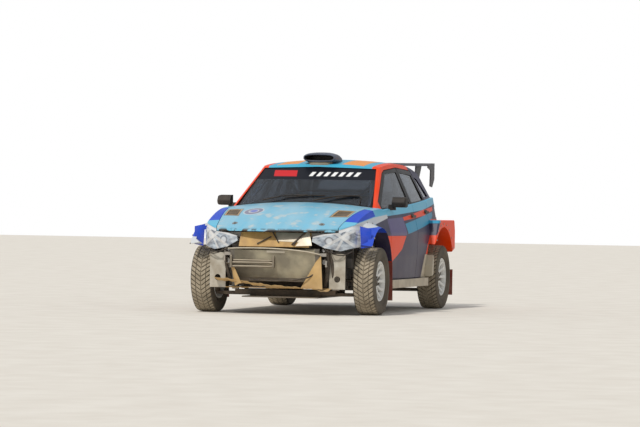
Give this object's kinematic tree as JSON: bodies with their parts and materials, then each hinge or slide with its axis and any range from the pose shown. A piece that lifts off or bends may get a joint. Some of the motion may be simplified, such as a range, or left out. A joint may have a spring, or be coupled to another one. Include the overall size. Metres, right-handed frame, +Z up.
{
  "type": "rally car",
  "caption": "Four-wheel-drive rally hatchback with roof scoop, rear wing, roll cage and an open front end without its bumper; doors, bonnet, tailgate, steering and wheels move.",
  "frame": {"origin": "on the ground, midway between the axles and between the front and rear ends", "axes": "+X forward, +Y to the car's left, +Z up"},
  "size_m": [3.8297, 1.92, 1.5681],
  "materials": {
    "bodywork_blue": "gloss",
    "bodywork_slate": "gloss",
    "bodywork_orange": "gloss",
    "shell_metal": "satin",
    "window_glass": "clear",
    "lamp_lens": "clear",
    "tail_lens": "clear",
    "dark_plastic": "matte",
    "tan_plastic": "dusty matte",
    "radiator_metal": "dusty",
    "running_gear_metal": "dusty",
    "guard_metal": "brushed",
    "engine_metal": "rough",
    "exhaust_metal": "brushed",
    "tyre_rubber": "dusty matte",
    "wheel_paint": "satin",
    "flap_rubber": "matte",
    "cage_paint": "satin",
    "seat_fabric": "matte"
  },
  "bodies": {
    "body": {"roof_panel": "bodywork_blue", "body_side_left": "bodywork_orange", "body_side_right": "bodywork_orange", "floor_pan": "shell_metal", "scuttle": "dark_plastic", "fender_left": "bodywork_blue", "fender_right": "bodywork_blue", "quarter_windows": "window_glass", "windscreen": "window_glass", "rear_bumper": "bodywork_slate", "side_skirts": "tan_plastic", "headlamps": "lamp_lens", "tail_lamps": "tail_lens", "radiator": "radiator_metal", "front_structure": "shell_metal", "front_ducting": "tan_plastic", "engine": "engine_metal", "sump_guard": "guard_metal", "roof_scoop": "bodywork_slate", "front_axle": "running_gear_metal", "rear_axle": "running_gear_metal", "mudflaps": "flap_rubber", "exhaust": "exhaust_metal", "seats": "seat_fabric", "roll_cage": "cage_paint", "dashboard": "dark_plastic"},
    "door_fl": {"door_front_left": "bodywork_slate", "window_front_left": "window_glass", "mirror_left": "bodywork_slate"},
    "door_fr": {"door_front_right": "bodywork_slate", "window_front_right": "window_glass", "mirror_right": "bodywork_slate"},
    "door_rl": {"door_rear_left": "bodywork_slate", "window_rear_left": "window_glass"},
    "door_rr": {"door_rear_right": "bodywork_slate", "window_rear_right": "window_glass"},
    "bonnet": {"bonnet": "bodywork_blue"},
    "tailgate": {"tailgate": "bodywork_blue", "tailgate_window": "window_glass", "rear_wing": "bodywork_slate"},
    "knuckle_fl": {"knuckle_front_left": "running_gear_metal"},
    "knuckle_fr": {"knuckle_front_right": "running_gear_metal"},
    "wheel_fl": {"tyre_front_left": "tyre_rubber", "rim_front_left": "wheel_paint"},
    "wheel_fr": {"tyre_front_right": "tyre_rubber", "rim_front_right": "wheel_paint"},
    "wheel_rl": {"tyre_rear_left": "tyre_rubber", "rim_rear_left": "wheel_paint"},
    "wheel_rr": {"tyre_rear_right": "tyre_rubber", "rim_rear_right": "wheel_paint"},
    "steering_wheel": {"steering_wheel": "dark_plastic"}
  },
  "joints": [
    {"name": "door_fl_hinge", "type": "hinge", "parent": "body", "child": "door_fl", "pos_m": [0.69, 0.856, 0.7], "axis": [0, 0, -1], "range_deg": [0, 65]},
    {"name": "door_fr_hinge", "type": "hinge", "parent": "body", "child": "door_fr", "pos_m": [0.69, -0.856, 0.7], "axis": [0, 0, 1], "range_deg": [0, 65]},
    {"name": "door_rl_hinge", "type": "hinge", "parent": "body", "child": "door_rl", "pos_m": [-0.328, 0.874, 0.7], "axis": [0, 0, -1], "range_deg": [0, 65]},
    {"name": "door_rr_hinge", "type": "hinge", "parent": "body", "child": "door_rr", "pos_m": [-0.328, -0.874, 0.7], "axis": [0, 0, 1], "range_deg": [0, 65]},
    {"name": "bonnet_hinge", "type": "hinge", "parent": "body", "child": "bonnet", "pos_m": [0.876, 0, 1.06], "axis": [0, -1, 0], "range_deg": [0, 60]},
    {"name": "tailgate_hinge", "type": "hinge", "parent": "body", "child": "tailgate", "pos_m": [-1.389, 0, 1.425], "axis": [0, 1, 0], "range_deg": [0, 70]},
    {"name": "steering_column", "type": "hinge", "parent": "body", "child": "steering_wheel", "pos_m": [0.4, 0.37, 0.9], "axis": [-0.9272, 0, 0.3746], "range_deg": [-360, 360]},
    {"name": "steer_fl", "type": "hinge", "parent": "body", "child": "knuckle_fl", "pos_m": [1.285, 0.745, 0.325], "axis": [0, 0, 1], "range_deg": [-30, 30]},
    {"name": "steer_fr", "type": "hinge", "parent": "body", "child": "knuckle_fr", "pos_m": [1.285, -0.745, 0.325], "axis": [0, 0, 1], "range_deg": [-30, 30]},
    {"name": "wheel_fl_spin", "type": "hinge", "parent": "knuckle_fl", "child": "wheel_fl", "pos_m": [1.285, 0.805, 0.325], "axis": [0, 1, 0], "continuous": true},
    {"name": "wheel_fr_spin", "type": "hinge", "parent": "knuckle_fr", "child": "wheel_fr", "pos_m": [1.285, -0.805, 0.325], "axis": [0, 1, 0], "continuous": true},
    {"name": "wheel_rl_spin", "type": "hinge", "parent": "body", "child": "wheel_rl", "pos_m": [-1.285, 0.805, 0.325], "axis": [0, 1, 0], "continuous": true},
    {"name": "wheel_rr_spin", "type": "hinge", "parent": "body", "child": "wheel_rr", "pos_m": [-1.285, -0.805, 0.325], "axis": [0, 1, 0], "continuous": true}
  ],
  "couplings": [
    {"joint": "steer_fl", "follows": "steering_column", "ratio": 0.083333},
    {"joint": "steer_fr", "follows": "steering_column", "ratio": 0.083333}
  ]
}
